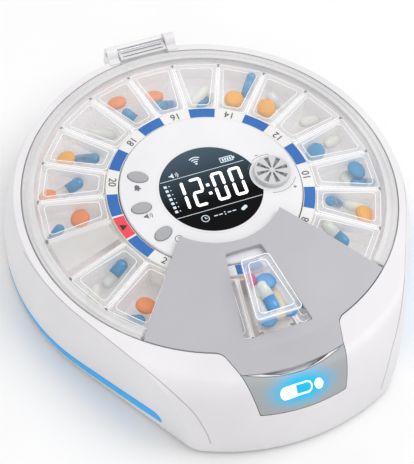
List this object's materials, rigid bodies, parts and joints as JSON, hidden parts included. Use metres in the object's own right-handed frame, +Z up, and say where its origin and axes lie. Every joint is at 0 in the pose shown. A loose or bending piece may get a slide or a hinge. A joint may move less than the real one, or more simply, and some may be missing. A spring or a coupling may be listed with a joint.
{
  "type": "automatic pill dispenser",
  "caption": "Round automatic pill dispenser: turning ring of clear cups under a hinged clear lid, a lifted dose cup in a window, clock display, buttons and a lit front button.",
  "frame": {"origin": "on the resting plane, under the carousel's axis", "axes": "+Z up along the carousel's axis, +Y to the lid's hinge at the back, -Y to the lit button at the front, +X to the dial's side"},
  "size_m": [0.2074, 0.2321, 0.0574],
  "materials": {
    "white_plastic": "satin",
    "clear_cup": "frosted clear",
    "clear_lid": "clear",
    "grey_plastic": "satin",
    "light_blue": "lit",
    "blue_ring": "printed",
    "black_display": "gloss",
    "black_plastic": "moulded",
    "inner_plastic": "moulded",
    "gear_plastic": "moulded",
    "rubber": "matt",
    "steel": "zinc plated",
    "cell": "wrapped cell",
    "circuit_board": "solder mask"
  },
  "bodies": {
    "base": {"bottom_shell": "white_plastic", "housing": "white_plastic", "carousel_well": "inner_plastic", "light_strip_left": "light_blue", "light_strip_right": "light_blue", "rubber_feet": "rubber", "base_screws": "steel", "batteries": "cell", "battery_contacts": "steel", "main_board": "circuit_board", "speaker": "black_plastic", "carousel_motor": "steel", "center_post": "inner_plastic", "head_tray": "inner_plastic", "control_panel": "white_plastic", "lcd_lens": "black_display", "lcd_module": "black_display", "panel_board": "circuit_board", "button_switches": "black_plastic", "dial_encoder": "black_plastic", "lift_motor": "steel", "lift_guide": "inner_plastic", "lit_board": "circuit_board", "hinge_pin": "steel"},
    "carousel": {"carousel": "inner_plastic", "cup_dividers": "inner_plastic", "carousel_bush": "gear_plastic", "carousel_gear": "gear_plastic", "number_ring": "blue_ring", "cup_01": "clear_cup", "cup_02": "clear_cup", "cup_03": "clear_cup", "cup_04": "clear_cup", "cup_06": "clear_cup", "cup_07": "clear_cup", "cup_08": "clear_cup", "cup_09": "clear_cup", "cup_10": "clear_cup", "cup_11": "clear_cup", "cup_12": "clear_cup", "cup_13": "clear_cup", "cup_14": "clear_cup", "cup_15": "clear_cup", "cup_16": "clear_cup", "cup_17": "clear_cup", "cup_18": "clear_cup", "cup_19": "clear_cup", "cup_20": "clear_cup", "cup_21": "clear_cup"},
    "pinion": {"drive_pinion": "gear_plastic"},
    "lifter": {"lift_carriage": "inner_plastic"},
    "screw": {"lift_screw": "steel"},
    "dose": {"dose_cup": "clear_cup"},
    "lid": {"lid": "clear_lid", "lid_cover": "grey_plastic", "lid_seal": "rubber"},
    "lit": {"lit_button": "grey_plastic"},
    "bell": {"bell_button": "white_plastic"},
    "volume": {"volume_button": "white_plastic"},
    "clock": {"clock_button": "white_plastic"},
    "dial": {"dial": "white_plastic"},
    "door": {"battery_door": "inner_plastic"}
  },
  "joints": [
    {"name": "carousel_turn", "type": "hinge", "parent": "base", "child": "carousel", "pos_m": [0, 0, 0.0315], "axis": [0, 0, 1], "range_deg": [0, 360]},
    {"name": "pinion_turn", "type": "hinge", "parent": "base", "child": "pinion", "pos_m": [0, 0.037, 0.0275], "axis": [0, 0, 1], "range_deg": [-1543, 0]},
    {"name": "dose_lift", "type": "slide", "parent": "base", "child": "lifter", "axis": [0, 0, 1], "range_m": [-0.0156, 0]},
    {"name": "screw_turn", "type": "hinge", "parent": "base", "child": "screw", "pos_m": [0, -0.0944, 0.02], "axis": [0, 0, 1], "range_deg": [-2809, 0]},
    {"name": "dose_cup_out", "type": "slide", "parent": "lifter", "child": "dose", "axis": [0, 0, 1], "range_m": [0, 0.04]},
    {"name": "lid_hinge", "type": "hinge", "parent": "base", "child": "lid", "pos_m": [0, 0.1015, 0.0415], "axis": [-1, 0, 0], "range_deg": [0, 100]},
    {"name": "lit_press", "type": "slide", "parent": "base", "child": "lit", "axis": [0, 0.682, -0.7314], "range_m": [0, 0.0015], "stiffness_N_per_m": 300, "springref_m": -0.001},
    {"name": "bell_press", "type": "slide", "parent": "base", "child": "bell", "axis": [0, 0, -1], "range_m": [0, 0.0008], "stiffness_N_per_m": 400, "springref_m": -0.0006},
    {"name": "volume_press", "type": "slide", "parent": "base", "child": "volume", "axis": [0, 0, -1], "range_m": [0, 0.0008], "stiffness_N_per_m": 400, "springref_m": -0.0006},
    {"name": "clock_press", "type": "slide", "parent": "base", "child": "clock", "axis": [0, 0, -1], "range_m": [0, 0.0008], "stiffness_N_per_m": 400, "springref_m": -0.0006},
    {"name": "dial_turn", "type": "hinge", "parent": "base", "child": "dial", "pos_m": [0.0324, -0.0011, 0.0442], "axis": [0, 0, 1], "continuous": true},
    {"name": "door_hinge", "type": "hinge", "parent": "base", "child": "door", "pos_m": [0, -0.0389, 0.0037], "axis": [1, 0, 0], "range_deg": [-80, 0]}
  ],
  "couplings": [
    {"joint": "pinion_turn", "follows": "carousel_turn", "ratio": -4.2857},
    {"joint": "screw_turn", "follows": "dose_lift", "rad_per_m": 3141.6}
  ]
}
